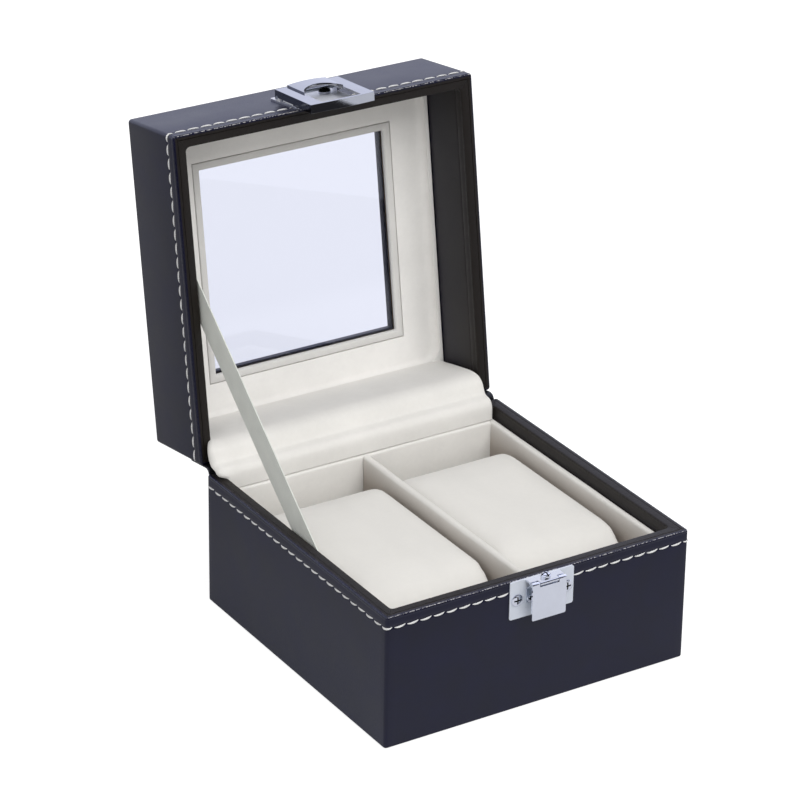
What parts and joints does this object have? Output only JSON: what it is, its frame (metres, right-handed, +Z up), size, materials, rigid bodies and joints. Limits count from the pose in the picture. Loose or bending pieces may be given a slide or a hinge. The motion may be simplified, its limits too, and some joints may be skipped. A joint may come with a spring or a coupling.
{
  "type": "watch box",
  "caption": "Small black leatherette-covered watch box, lid open: cream velvet tray with divider and lift-out cushions, framed glass in the lid, ribbon stay, chrome hasp and sprung catch.",
  "frame": {"origin": "centre of the bottom face that the box stands on", "axes": "+Z up, +Y towards the hinge at the back, +X to the right seen from the front"},
  "size_m": [0.114, 0.1675, 0.1648],
  "materials": {
    "board": "raw fibreboard",
    "black_leather": "smooth fine-grained leatherette, satin",
    "base_felt": "black felt paper",
    "cream_velvet": "short-pile cream velvet on card",
    "cushion_velvet": "short-pile cream velvet, padded",
    "grey_ribbon": "woven ribbon, satin edge",
    "clear_glass": "clear, polished",
    "polished_chrome": "bright polished plate",
    "spring_steel": "plain bright steel"
  },
  "bodies": {
    "base": {"base_front_board": "board", "base_back_board": "board", "base_left_board": "board", "base_right_board": "board", "base_floor_board": "board", "base_leather_wrap": "black_leather", "base_bottom_sheet": "base_felt", "tray_floor": "cream_velvet", "tray_front_wall": "cream_velvet", "tray_back_wall": "cream_velvet", "tray_left_wall": "cream_velvet", "tray_right_wall": "cream_velvet", "tray_divider": "cream_velvet", "strike_plate": "polished_chrome", "catch_spring": "spring_steel", "catch_rivets": "polished_chrome", "catch_stud": "polished_chrome", "catch_pin": "spring_steel", "strike_screws": "polished_chrome", "hinge_leather_strip": "black_leather", "hinge_velvet_strip": "cream_velvet", "stay_ribbon": "grey_ribbon"},
    "catch_tongue": {"catch_tongue": "polished_chrome"},
    "cushion_left": {"cushion_left": "cushion_velvet"},
    "cushion_right": {"cushion_right": "cushion_velvet"},
    "lid": {"lid_front_board": "board", "lid_back_board": "board", "lid_left_board": "board", "lid_right_board": "board", "lid_window_board": "board", "lid_leather_wrap": "black_leather", "window_glass": "clear_glass", "window_bezel": "cream_velvet", "lid_lining": "cream_velvet", "hasp_plate": "polished_chrome", "hasp_pin": "spring_steel", "hasp_screws": "polished_chrome"},
    "hasp_flap": {"hasp_flap": "polished_chrome"}
  },
  "joints": [
    {"name": "lid_hinge", "type": "hinge", "parent": "base", "child": "lid", "pos_m": [0, 0.0584, 0.0461], "axis": [-1, 0, 0], "range_deg": [-98.4, 0], "deforming": ["hinge_leather_strip", "hinge_velvet_strip", "stay_ribbon"]},
    {"name": "hasp_pivot", "type": "hinge", "parent": "lid", "child": "hasp_flap", "pos_m": [0, 0.08725, 0.16001], "axis": [-1, 0, 0], "range_deg": [0, 90]},
    {"name": "catch_pivot", "type": "hinge", "parent": "base", "child": "catch_tongue", "pos_m": [0, -0.0602, 0.04615], "axis": [-1, 0, 0], "range_deg": [0, 60], "stiffness_Nm_per_rad": 0.002, "springref_deg": -28.65, "deforming": ["catch_spring"]},
    {"name": "cushion_left_lift", "type": "slide", "parent": "base", "child": "cushion_left", "axis": [0, 0, 1], "range_m": [0, 0.06]},
    {"name": "cushion_right_lift", "type": "slide", "parent": "base", "child": "cushion_right", "axis": [0, 0, 1], "range_m": [0, 0.06]}
  ]
}
